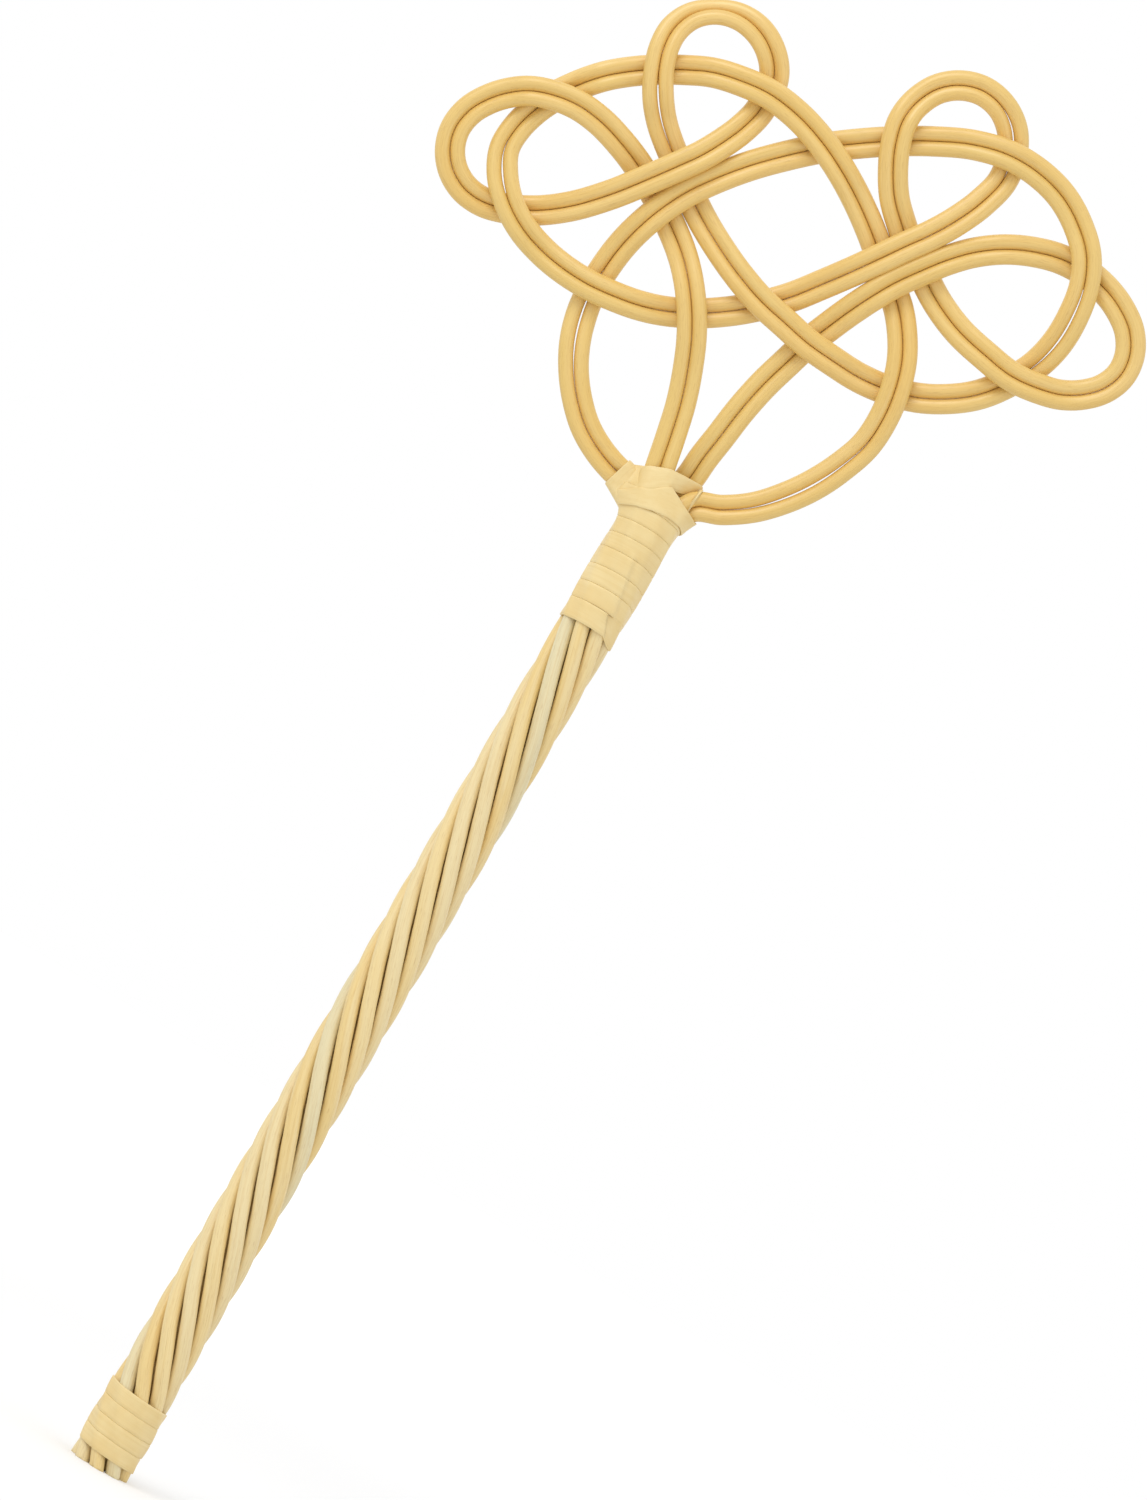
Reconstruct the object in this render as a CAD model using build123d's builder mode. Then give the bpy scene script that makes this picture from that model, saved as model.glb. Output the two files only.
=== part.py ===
from build123d import *
import os
from math import ceil, cos, radians, sin, sqrt

# Carpet beater of peeled rattan cane. Two bands, each of two canes laid side by side, are woven into a
# flat open knot. Their eight ends come together at the neck, are bound there with flat cane strip, and
# run down the handle as eight strands twisted round a core rod. It stands upright here: the handle's
# axis is Z, the knot lies in the XZ plane and its front faces -Y. The origin is the middle of the grip.

os.makedirs("parts", exist_ok=True)

# Driving sizes, in millimetres
knot_width = 284.7            # across the knot, outside its left and right loops
handle_length = 430.0         # from the neck, where the bands meet, down to the butt
grip_above_butt = 50.0        # middle of the grip above the butt's end face
cane_diameter = 5.8
cane_gap = 0.15               # between two canes that lie side by side
weave_clearance = 0.35        # between two canes where one band crosses another

ring_radius_neck = 8.7        # circle through the strands' centres, under the collar
ring_radius_butt = 9.6        # the same circle at the butt
core_clearance = 0.15         # between the core rod and the strands round it
core_below_neck = 13.0        # top of the core rod, below the neck
core_tip_length = 9.0
core_tip_radius = 2.4
core_edge_chamfer = 0.8

seat_below_neck = 9.0         # where the bands have become a ring of eight strands
collar_below_neck = 54.0      # lower edge of the collar's winding
twist_pitch_seat = 490.0      # height of one full turn of a strand, at the seat
twist_pitch_collar = 200.0    # the same just below the collar
twist_pitch_butt = 141.2      # and at the butt
strand_station_angle = 36.0   # a strand's path has a point at each of these turns, in degrees

strip_thickness = 0.8
strip_clearance = 0.15        # between the strip and the canes under it
collar_strip_width = 6.7
collar_strip_pitch = 7.2
collar_top_below_neck = 10.6
butt_strip_width = 6.2
butt_strip_pitch = 6.8
butt_strip_turns = 3.5
butt_strip_above_end = 4.0

neck_strap_clearance = 0.25   # round the strands at its foot
neck_strap_above_winding = 1.3
neck_strap_lap_angle = 4.0    # open joint behind, in degrees
neck_strap_stations = 36

root_strap_clearance = 0.35   # round the curved roots of the bands
crossing_halvings = 40
run_points_below_seat = 1     # a strap's canes are followed from here, by the points of their route
run_points_above_seat = 8
left_strap_width = 7.0
right_strap_width = 3.0
centre_strap_width = 5.4
left_strap_slope = 18.7       # degrees that the band rises outwards through its strap
right_strap_slope = 25.6
centre_strap_tilt = 23.0      # degrees, its left end is the lower one

# The knot's route, read off a picture of the front. Columns count to the right and rows downwards.
# The third number is the height of the band at that point as a share of the weave's lift:
# -1 where it passes over another band, towards the front, and 1 where it passes under.
neck_px = (654.0, 514.0)      # where the handle's axis passes the neck
handle_lean = 30.24           # degrees that the handle leans to the right in the picture
knot_width_px = 730.0         # knot_width in the picture

band_b_px = [
    (660, 468, -1.15), (670, 436, -0.45), (681, 403, -0.1), (688, 368, -0.3), (691.5, 338, -0.8),
    (691.7, 312, -1), (689.5, 288, -0.85), (683, 257, 0.2), (670.5, 226.7, 0.85), (662.5, 207.8, 1),
    (648.5, 181.8, 1), (637.5, 164.3, 0.85), (620, 142, 0.1), (600, 121.5, -0.5), (579, 106.5, -0.95),
    (552, 95.5, -1), (530, 91.5, -0.9), (509, 93, -0.3), (488, 99.5, 0), (469, 111, 0),
    (455, 129, 0), (450, 150, 0), (453.5, 171, 0.15), (464, 188, 0.45), (482, 201, 0.9),
    (510, 208.5, 1), (535, 210, 0.95), (570, 206.5, 0), (607, 195.5, -1.0), (648, 178.2, -1.9),
    (676.8, 165.4, -2.1), (699.2, 155.2, -1.95), (721, 143.8, -1.3), (742.5, 128.4, -0.2), (759, 111, 0.8),
    (768.5, 95, 1), (774.5, 73, 0.75), (771.5, 51, 0.2), (759, 29, 0), (740, 14.5, 0),
    (715, 9.5, 0), (692, 14.5, 0), (675, 28, -0.25), (664, 48, -0.85), (659, 70, -1),
    (658, 95, -0.7), (662, 122, 0.5), (670, 145.5, 0.95), (679.5, 167.2, 1), (688.5, 190.2, 1),
    (700.8, 214.4, 0.85), (720.5, 249.7, 0), (742, 280, -0.8), (762, 303, -1), (784, 323, -1),
    (807, 343.5, -1), (832, 361, -0.7), (862, 379, 0.6), (893, 391.5, 1), (918, 397.5, 0.8),
    (947, 399, 0.2), (977, 395, 0.5), (1009, 382, 1), (1034, 366.5, 0.95), (1056, 344.5, 0.1),
    (1073, 316, -0.75), (1084, 285, -1), (1086, 257, -0.95), (1078, 226, -0.45), (1062, 197, -0.45),
    (1040, 175, -0.75), (1011, 157, -1), (975, 145.5, -0.4), (935, 141, 0.75), (896, 140.7, 1),
    (860, 143, 0.95), (823, 147.5, 1), (787.3, 155.3, 0.6), (750.6, 167, -0.2), (712.8, 181.8, -0.8),
    (687.2, 193.6, -1), (665.3, 207.6, -1), (644, 224.5, -0.85), (620, 247.5, 0.2), (604, 269, 0.8),
    (592, 289, 1), (581, 316, 0.7), (575, 342, 0.15), (573.8, 370, 0), (578, 400, 0),
    (587, 428, 0), (600, 450, 0), (617, 469, 0),
]
band_a_px = [
    (691, 476, 1.15), (703, 458.5, 0.7), (720, 437, 0.35), (740, 411, 0.3), (765, 383, 0.7),
    (786, 363, 0.95), (807, 343.5, 1), (828, 327, 0.85), (856, 308, -0.3), (875, 296.2, -0.95),
    (892.7, 285.7, -1), (921.8, 272.7, -1), (948, 261, -0.7), (975, 252.5, 0), (1005, 249.5, 0),
    (1035, 252, 0.4), (1062, 259, 0.95), (1086, 272, 1), (1105, 288.5, 0.85), (1120, 309, 0.25),
    (1129.5, 332, 0), (1129.5, 356, 0), (1120, 376, 0), (1104, 388.5, 0), (1084, 394.5, 0),
    (1062, 395, -0.2), (1038, 389, -0.95), (1009, 375.5, -1), (986, 357, -0.85), (958, 329, 0.1),
    (938, 301.3, 0.8), (923, 273.8, 1), (909.2, 245.4, 1), (902, 224.5, 0.8), (894.5, 198, 0),
    (892.8, 172, -0.65), (895.5, 144, -1), (903, 120.5, -0.9), (918, 100.5, -0.15), (938, 89, 0),
    (961, 85.5, 0), (983, 91, 0), (1001, 105.5, 0.2), (1012.5, 129, 0.85), (1012, 157, 1),
    (1003, 180, 0.7), (983, 201.5, -0.1), (955, 221.5, -0.85), (925, 237.5, -1), (907.1, 245.1, -1),
    (882.3, 256.8, -1), (854, 270, -0.7), (822, 284.5, 0.3), (792, 296.5, 0.9), (762, 305, 1),
    (728, 311, 1), (692, 312.8, 1), (667, 311, 0.8), (637, 305, -0.5), (612, 296, -0.95),
    (592, 287, -1), (568, 272.5, -0.75), (543, 252, -0.3), (522, 228, -0.95), (509, 203, -1),
    (502.5, 174, -0.5), (505, 147, 0.2), (516, 127.5, 0.6), (533, 111, 0.95), (552, 97.5, 1),
    (574, 86.5, 0.95), (603, 76.5, 0.3), (633, 70.8, 0.9), (659, 69, 1), (685, 69.5, 0.85),
    (712, 72.5, -0.1), (742, 82, -0.8), (769, 94.5, -1), (795, 114, -0.95), (823, 143, -1),
    (842, 170.5, -0.85), (859, 201.6, 0.3), (872, 232.6, 0.9), (881.3, 258.2, 1), (890.3, 284.6, 1),
    (898, 306, 0.75), (902, 332, -0.1), (901, 361, -0.8), (893, 391, -1), (882, 418, -0.6),
    (865, 444, 0), (842, 466, 0), (815, 484, 0), (785, 498, 0), (753, 507.5, 0),
    (722, 510, 0),
]

# Where each band-end's two canes pass between the knot and their seats, as x, y and height shares of
# the strands' ring radius under the collar. Each end has its seats' angles on the ring first.
left_inner_seat, left_outer_seat = 157.5, 202.5
front_left_seat, front_right_seat = 247.5, 292.5
right_inner_seat, right_outer_seat = 337.5, 382.5
back_right_seat, back_left_seat = 427.5, 472.5
left_inner_shares = [(-1.71, 0.06, 1.03), (-1.12, 0.3, 0.47), (-0.91, 0.4, -0.2)]
left_outer_shares = [(-1.96, -0.05, 0.37), (-1.38, -0.2, -0.08), (-1.03, -0.33, -0.62)]
front_left_shares = [(-0.94, -0.62, 0.9), (-0.64, -0.82, 0.0)]
front_right_shares = [(-0.2, -0.62, 0.9), (0.14, -0.82, 0.0)]
right_inner_shares = [(1.15, -0.09, 1.48), (0.88, -0.28, 1.0), (0.82, -0.44, 0.32), (0.9, -0.4, -0.36)]
right_outer_shares = [(1.48, 0.09, 0.8), (1.2, 0.24, 0.32), (0.99, 0.34, -0.32)]
back_right_shares = [(0.7, 0.62, 1.2), (0.5, 0.86, 0.2)]
back_left_shares = [(-0.03, 0.62, 1.2), (-0.26, 0.86, 0.2)]

# The neck strap's upper edge, as shares of the same radius: half its width and depth, how far it lies
# below the neck at the sides, and how much higher it is in front and behind
neck_strap_side_share = 1.793
neck_strap_front_share = 1.333
neck_strap_low_share = 0.218
neck_strap_rise_share = 1.08

# Middles of the three straps round the band-ends, as x and height shares of the same radius
left_strap_shares = (-2.08, 0.83)
right_strap_shares = (1.76, 1.34)
centre_strap_shares = (-0.1, 1.85)
band_section_shares = (-1, 0, 1)          # where a strap's sections lie, of half its width
two_band_section_shares = (-1, 1)

# Sizes that follow from the driving ones
mm_per_px = knot_width / knot_width_px
cane_radius = cane_diameter / 2
pair_spacing = cane_diameter + cane_gap
weave_lift = (cane_diameter + weave_clearance) / 2
neck_height = handle_length - grip_above_butt
butt_height = -grip_above_butt
seat_height = neck_height - seat_below_neck
collar_foot = neck_height - collar_below_neck
full_turn = 360.0
flat_turn_share = 1e-5         # a turn this slight is taken as straight


def from_picture(column, row, level):
    """A point of the picture in the beater's own frame, with its height in the weave as y."""
    lean = radians(handle_lean)
    right = (column - neck_px[0]) * mm_per_px
    down = (row - neck_px[1]) * mm_per_px
    return Vector(
        right * cos(lean) + down * sin(lean),
        level * weave_lift,
        neck_height + right * sin(lean) - down * cos(lean),
    )


def tangents_of(points):
    """Unit tangents at the points of a path: each leans towards its shorter neighbouring chord."""
    chords = [after - before for before, after in zip(points, points[1:])]
    inner = [
        (before.normalized() * after.length + after.normalized() * before.length).normalized()
        for before, after in zip(chords, chords[1:])
    ]
    first = (chords[0].normalized() * 2 - inner[0]).normalized()
    last = (chords[-1].normalized() * 2 - inner[-1]).normalized()
    return [first] + inner + [last]


def cane_beside(band, side):
    """Points of one cane of a band: side is 1 for the cane to the left of the band's travel."""
    directions = tangents_of([Vector(p.X, 0, p.Z) for p in band])
    return [
        p + Vector(-t.Z, 0, t.X) * (side * pair_spacing / 2)
        for p, t in zip(band, directions)
    ]


def twist_between(upper, lower, pitch_upper, pitch_lower, height):
    """Degrees that a strand turns from the upper height down to the given one; its rate changes evenly."""
    fallen = upper - height
    rate_upper = full_turn / pitch_upper
    rate_lower = full_turn / pitch_lower
    return rate_upper * fallen + (rate_lower - rate_upper) * fallen**2 / (2 * (upper - lower))


def strand_point(seat_angle, height):
    """Centre of a strand at a height at or below the seat, for the strand with this angle there."""
    collar_turn = twist_between(
        seat_height, collar_foot, twist_pitch_seat, twist_pitch_collar, max(height, collar_foot)
    )
    handle_turn = 0
    radius = ring_radius_neck
    if height < collar_foot:
        handle_turn = twist_between(
            collar_foot, butt_height, twist_pitch_collar, twist_pitch_butt, height
        )
        fallen_share = (collar_foot - height) / (collar_foot - butt_height)
        radius += (ring_radius_butt - ring_radius_neck) * fallen_share
    angle = radians(seat_angle + collar_turn + handle_turn)
    return Vector(radius * cos(angle), radius * sin(angle), height)


def strand_points(seat_angle):
    """A strand's path from its seat down past the butt, in near equal turns."""
    collar_turn = twist_between(
        seat_height, collar_foot, twist_pitch_seat, twist_pitch_collar, collar_foot
    )
    handle_turn = twist_between(
        collar_foot, butt_height, twist_pitch_collar, twist_pitch_butt, butt_height
    )
    collar_steps = ceil(collar_turn / strand_station_angle) + 1
    handle_steps = ceil(handle_turn / strand_station_angle)
    collar_run = (seat_height - collar_foot) / collar_steps
    handle_run = (collar_foot - butt_height) / handle_steps
    heights = [seat_height - collar_run * i for i in range(collar_steps)]
    heights += [collar_foot - handle_run * i for i in range(handle_steps + 1)]
    below_butt = strand_point(seat_angle, butt_height - cane_diameter)
    return [strand_point(seat_angle, h) for h in heights] + [below_butt]


def neck_points(shares):
    """The points of a cane between the knot and its seat."""
    return [
        Vector(x * ring_radius_neck, y * ring_radius_neck, neck_height + z * ring_radius_neck)
        for x, y, z in shares
    ]


def cane_points(band, side, start_shares, start_seat, end_shares, end_seat):
    """One cane from the butt up its first strand, round the knot, and down its second strand."""
    up = strand_points(start_seat)[::-1] + neck_points(start_shares)[::-1]
    down = neck_points(end_shares) + strand_points(end_seat)
    return up + cane_beside(band, side) + down


def add_tangent_arc(start, end, tangent):
    """One arc of a path, or a straight line where the arc would have no turn."""
    chord = end - start
    if chord.cross(tangent).length < chord.length * flat_turn_share:
        Line(start, end)
    else:
        TangentArc(start, end, tangent=tangent)


def add_biarc_path(points):
    """A smooth path through the points: two tangent arcs from each one to the next."""
    tangents = tangents_of(points)
    for start, end, first, last in zip(points, points[1:], tangents, tangents[1:]):
        chord = end - start
        spread = 2 * (1 - first.dot(last))
        along = chord.dot(first + last)
        if spread < flat_turn_share:
            reach = chord.dot(chord) / (2 * along)
        else:
            reach = (sqrt(along**2 + spread * chord.dot(chord)) - along) / spread
        joint = (start + end + (first - last) * reach) / 2
        turned = ((end - last * reach) - (start + first * reach)).normalized()
        add_tangent_arc(start, joint, first)
        add_tangent_arc(joint, end, turned)


band_b = [from_picture(*p) for p in band_b_px]
band_a = [from_picture(*p) for p in band_a_px]
cane_routes = {
    "left_band_inner_cane": cane_points(
        band_b, 1, front_left_shares, front_left_seat, left_inner_shares, left_inner_seat
    ),
    "left_band_outer_cane": cane_points(
        band_b, -1, front_right_shares, front_right_seat, left_outer_shares, left_outer_seat
    ),
    "right_band_outer_cane": cane_points(
        band_a, 1, back_left_shares, back_left_seat, right_outer_shares, right_outer_seat
    ),
    "right_band_inner_cane": cane_points(
        band_a, -1, back_right_shares, back_right_seat, right_inner_shares, right_inner_seat
    ),
}

# The four canes, each one unbroken rod from the butt, round the knot, and back to the butt
canes = {}
for cane_name, route in cane_routes.items():
    with BuildPart() as cane:
        with BuildLine() as cane_path:
            add_biarc_path(route)
        with BuildSketch(Plane(origin=cane_path.line @ 0, z_dir=cane_path.line % 0)):
            Circle(cane_radius)
        sweep()
        split(bisect_by=Plane.XY.offset(butt_height), keep=Keep.TOP)
    cane.part.label = cane_name
    export_step(cane.part, f"parts/{cane_name}.step")
    canes[cane_name] = cane.part

# The core rod that the eight strands are twisted round, with a tapered tip inside the collar
core_radius_neck = ring_radius_neck - cane_radius - core_clearance
core_radius_butt = ring_radius_butt - cane_radius - core_clearance
core_top = neck_height - core_below_neck
with BuildPart() as handle_core:
    with BuildSketch(Plane.XZ):
        with BuildLine():
            Polyline(
                (0, butt_height),
                (core_radius_butt - core_edge_chamfer, butt_height),
                (core_radius_butt, butt_height + core_edge_chamfer),
                (core_radius_neck, collar_foot),
                (core_radius_neck, core_top - core_tip_length),
                (core_tip_radius, core_top),
                (0, core_top),
                close=True,
            )
        make_face()
    revolve(axis=Axis.Z)
handle_core.part.label = "handle_core"
export_step(handle_core.part, "parts/handle_core.step")

# The collar's winding of flat strip: left-handed, one turn above the other, edge by edge
collar_strip_radius = ring_radius_neck + cane_radius + strip_clearance + strip_thickness / 2
collar_wind_height = collar_below_neck - collar_top_below_neck - collar_strip_width
with BuildPart() as collar_winding:
    with BuildLine() as collar_path:
        Helix(
            collar_strip_pitch,
            collar_wind_height,
            collar_strip_radius,
            center=(0, 0, collar_foot + collar_strip_width / 2),
            lefthand=True,
        )
    with BuildSketch(Plane(collar_path.line @ 0, x_dir=(1, 0, 0), z_dir=collar_path.line % 0)):
        Rectangle(strip_thickness, collar_strip_width)
    sweep(is_frenet=True)
collar_winding.part.label = "collar_winding"
export_step(collar_winding.part, "parts/collar_winding.step")

# The winding that holds the strands together at the butt
butt_strip_radius = ring_radius_butt + cane_radius + strip_clearance + strip_thickness / 2
with BuildPart() as butt_winding:
    with BuildLine() as butt_path:
        Helix(
            butt_strip_pitch,
            butt_strip_pitch * butt_strip_turns,
            butt_strip_radius,
            center=(0, 0, butt_height + butt_strip_above_end + butt_strip_width / 2),
            lefthand=True,
        )
    with BuildSketch(Plane(butt_path.line @ 0, x_dir=(1, 0, 0), z_dir=butt_path.line % 0)):
        Rectangle(strip_thickness, butt_strip_width)
    sweep(is_frenet=True)
butt_winding.part.label = "butt_winding"
export_step(butt_winding.part, "parts/butt_winding.step")


def gap_between_turns(radius, pitch, width):
    """Least distance between a wound strip's edge and the next turn's, on points of the two edges."""
    points_per_turn = 90
    lower_edge = [
        Vector(
            radius * cos(radians(full_turn * i / points_per_turn)),
            radius * sin(radians(full_turn * i / points_per_turn)),
            pitch * i / points_per_turn + width / 2,
        )
        for i in range(points_per_turn)
    ]
    upper_edge = [p + Vector(0, 0, pitch - width) for p in lower_edge]
    return min((upper - lower).length for upper in upper_edge for lower in lower_edge)


# The strap round the neck, over the top of the winding: it is higher in front and behind than at the
# sides, where it passes under the outer bands
neck_strap_foot = neck_height - collar_top_below_neck + neck_strap_above_winding
neck_strap_foot_radius = ring_radius_neck + cane_radius + neck_strap_clearance
neck_strap_side_reach = neck_strap_side_share * ring_radius_neck
neck_strap_front_reach = neck_strap_front_share * ring_radius_neck
neck_strap_low_edge = neck_height - neck_strap_low_share * ring_radius_neck
neck_strap_rise = neck_strap_rise_share * ring_radius_neck
with BuildPart() as neck_strap:
    for i in range(neck_strap_stations + 1):
        turned = (full_turn - neck_strap_lap_angle) * i / neck_strap_stations
        angle = radians(full_turn / 4 + neck_strap_lap_angle / 2 + turned)
        upper_radius = sqrt(
            (neck_strap_side_reach * cos(angle)) ** 2 + (neck_strap_front_reach * sin(angle)) ** 2
        )
        upper_edge = neck_strap_low_edge + neck_strap_rise * sin(angle) ** 2
        outward = Vector(cos(angle), sin(angle), 0)
        with BuildSketch(Plane(origin=(0, 0, 0), x_dir=outward, z_dir=outward.cross(Vector(0, 0, 1)))):
            Polygon(
                (neck_strap_foot_radius, neck_strap_foot),
                (neck_strap_foot_radius + strip_thickness, neck_strap_foot),
                (upper_radius + strip_thickness, upper_edge),
                (upper_radius, upper_edge),
                align=None,
            )
    loft(ruled=True)
neck_strap.part.label = "neck_strap"
export_step(neck_strap.part, "parts/neck_strap.step")


def crossing(end_points, section):
    """Where a cane passes a plane, found by halving, and how much wider its slanting cut is there."""
    with BuildLine(mode=Mode.PRIVATE):
        line = Spline(*end_points)
    near, far = 0, 1
    near_side = section.to_local_coords(line @ near).Z > 0
    for _ in range(crossing_halvings):
        middle = (near + far) / 2
        if (section.to_local_coords(line @ middle).Z > 0) == near_side:
            near = middle
        else:
            far = middle
    return section.to_local_coords(line @ middle), 1 / abs(section.z_dir.dot(line % middle))


def neck_run(name, is_start):
    """The stretch of a cane's route from just below its seat up into the knot."""
    route = cane_routes[name] if is_start else cane_routes[name][::-1]
    seat_index = len(strand_points(front_left_seat)) - 1
    return route[seat_index - run_points_below_seat : seat_index + run_points_above_seat]


def strap_plane(place_shares, slope, side):
    """The plane across a band where its strap lies: side is -1 to the left and 1 to the right."""
    x_share, height_share = place_shares
    return Plane(
        origin=(x_share * ring_radius_neck, 0, neck_height + height_share * ring_radius_neck),
        x_dir=(0, 1, 0),
        z_dir=(side * cos(radians(slope)), 0, sin(radians(slope))),
    )


def strap_round(name, cane_ends, middle_plane, width, section_shares):
    """A strap drawn tight round the canes of one or two band-ends, following them across its width."""
    with BuildPart() as strap:
        for grown, mode in (
            (root_strap_clearance + strip_thickness, Mode.ADD),
            (root_strap_clearance, Mode.SUBTRACT),
        ):
            overrun = 0 if mode == Mode.ADD else strip_thickness
            for share in section_shares:
                section = middle_plane.offset(share * (width / 2 + overrun))
                with BuildSketch(section):
                    for end_points in cane_ends:
                        place, widening = crossing(end_points, section)
                        with Locations((place.X, place.Y)):
                            Circle(cane_radius * widening + grown)
                    make_hull()
            loft(ruled=True, mode=mode)
    strap.part.label = name
    export_step(strap.part, f"parts/{name}.step")
    return strap.part


# The straps round the left and right outer bands where they leave the neck, and the slanting strap
# that holds the two middle bands together
left_ends = [neck_run("left_band_inner_cane", False), neck_run("left_band_outer_cane", False)]
right_ends = [neck_run("right_band_inner_cane", False), neck_run("right_band_outer_cane", False)]
front_ends = [neck_run("left_band_inner_cane", True), neck_run("left_band_outer_cane", True)]
back_ends = [neck_run("right_band_inner_cane", True), neck_run("right_band_outer_cane", True)]
straps = {
    name: strap_round(name, cane_ends, strap_plane(place, slope, side), width, shares)
    for name, cane_ends, place, slope, side, width, shares in (
        ("left_root_strap", left_ends, left_strap_shares, left_strap_slope, -1,
         left_strap_width, band_section_shares),
        ("right_root_strap", right_ends, right_strap_shares, right_strap_slope, 1,
         right_strap_width, band_section_shares),
        ("centre_root_strap", front_ends + back_ends, centre_strap_shares,
         full_turn / 4 - centre_strap_tilt, -1, centre_strap_width, two_band_section_shares),
    )
}

# What was built, in words for the builder's log
collar_gap = gap_between_turns(collar_strip_radius, collar_strip_pitch, collar_strip_width)
butt_gap = gap_between_turns(butt_strip_radius, butt_strip_pitch, butt_strip_width)
print(f"least gap between turns: collar {collar_gap:.2f} mm, butt {butt_gap:.2f} mm")
whole = Compound(children=list(canes.values())).bounding_box()
print(f"height {whole.size.Z:.1f} mm, width {whole.size.X:.1f} mm, depth {whole.size.Y:.1f} mm")
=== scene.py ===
from itertools import takewhile
from math import ceil, cos, exp, floor, pi, radians, sin, sqrt

import bmesh
import bpy
from mathutils import Matrix, Vector
from mathutils.geometry import interpolate_bezier


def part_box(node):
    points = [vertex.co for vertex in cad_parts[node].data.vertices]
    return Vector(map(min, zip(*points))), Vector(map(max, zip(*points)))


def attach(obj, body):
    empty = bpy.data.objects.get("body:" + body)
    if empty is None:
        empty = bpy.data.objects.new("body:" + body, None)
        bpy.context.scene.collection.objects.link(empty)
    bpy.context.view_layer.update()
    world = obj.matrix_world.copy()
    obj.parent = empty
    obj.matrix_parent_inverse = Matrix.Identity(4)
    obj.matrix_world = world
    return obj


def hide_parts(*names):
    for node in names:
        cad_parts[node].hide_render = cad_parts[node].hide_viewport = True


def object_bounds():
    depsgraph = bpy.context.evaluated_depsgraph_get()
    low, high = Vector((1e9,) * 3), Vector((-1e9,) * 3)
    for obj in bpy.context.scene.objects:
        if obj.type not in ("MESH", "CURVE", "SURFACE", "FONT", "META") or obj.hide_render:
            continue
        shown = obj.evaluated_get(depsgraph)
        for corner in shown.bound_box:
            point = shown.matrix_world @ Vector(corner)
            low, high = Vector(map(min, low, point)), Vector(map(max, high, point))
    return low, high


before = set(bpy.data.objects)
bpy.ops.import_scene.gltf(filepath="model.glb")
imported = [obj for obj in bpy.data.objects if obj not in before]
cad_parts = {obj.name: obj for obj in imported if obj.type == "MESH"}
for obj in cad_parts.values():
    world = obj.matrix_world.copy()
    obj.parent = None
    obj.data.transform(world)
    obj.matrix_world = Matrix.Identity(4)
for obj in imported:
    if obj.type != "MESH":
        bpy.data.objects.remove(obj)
cad_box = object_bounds()

# The beater as the photograph shows it: the knot's front square on and the handle leaning to the right.
# The camera looks along +Y from far off through a long lens. It is rolled by the handle's lean, so a
# place in the photograph is one place in the plane of the knot.
picture_size = (1147, 1500)
neck_place = (654.0, 514.0)
handle_lean = radians(30.24)
knot_width = 0.2847
knot_width_in_pixels = 730.0
pixel = knot_width / knot_width_in_pixels
handle_length = 0.430
grip_above_butt = 0.050
neck_height = handle_length - grip_above_butt
butt_height = -grip_above_butt
lens_length = 200.0
far_clip = 10.0  # in camera distances


def from_picture(column, row, depth=0.0):
    """The place in the beater's own frame that the photograph shows at this column and row."""
    right = (column - neck_place[0]) * pixel
    down = (row - neck_place[1]) * pixel
    return Vector(
        (
            right * cos(handle_lean) + down * sin(handle_lean),
            depth,
            neck_height + right * sin(handle_lean) - down * cos(handle_lean),
        )
    )


camera_data = bpy.data.cameras.new("camera")
camera_data.lens = lens_length
half_view = camera_data.sensor_width / 2 / lens_length
camera_distance = picture_size[1] * pixel / 2 / half_view
camera_data.clip_end = camera_distance * far_clip
camera = bpy.data.objects.new("camera", camera_data)
bpy.context.collection.objects.link(camera)
camera_place = from_picture(picture_size[0] / 2, picture_size[1] / 2, -camera_distance)
camera.matrix_world = Matrix(
    (
        (cos(handle_lean), -sin(handle_lean), 0, camera_place.x),
        (0, 0, -1, camera_place.y),
        (sin(handle_lean), cos(handle_lean), 0, camera_place.z),
        (0, 0, 0, 1),
    )
)
bpy.context.scene.camera = camera

# The core rod: a straight raw stick that the eight strands of the handle are twisted round. Only its
# sawn end shows, in the middle of the butt. The CAD solid has its shape, so it only gets its wood here.


def as_seen(red, green, blue):
    """A colour as a picture shows it, from 0 to 255, as the linear colour that a shader takes."""
    return tuple(
        (c / 255 / 12.92) if c <= 10 else ((c / 255 + 0.055) / 1.055) ** 2.4
        for c in (red, green, blue)
    ) + (1.0,)


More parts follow.
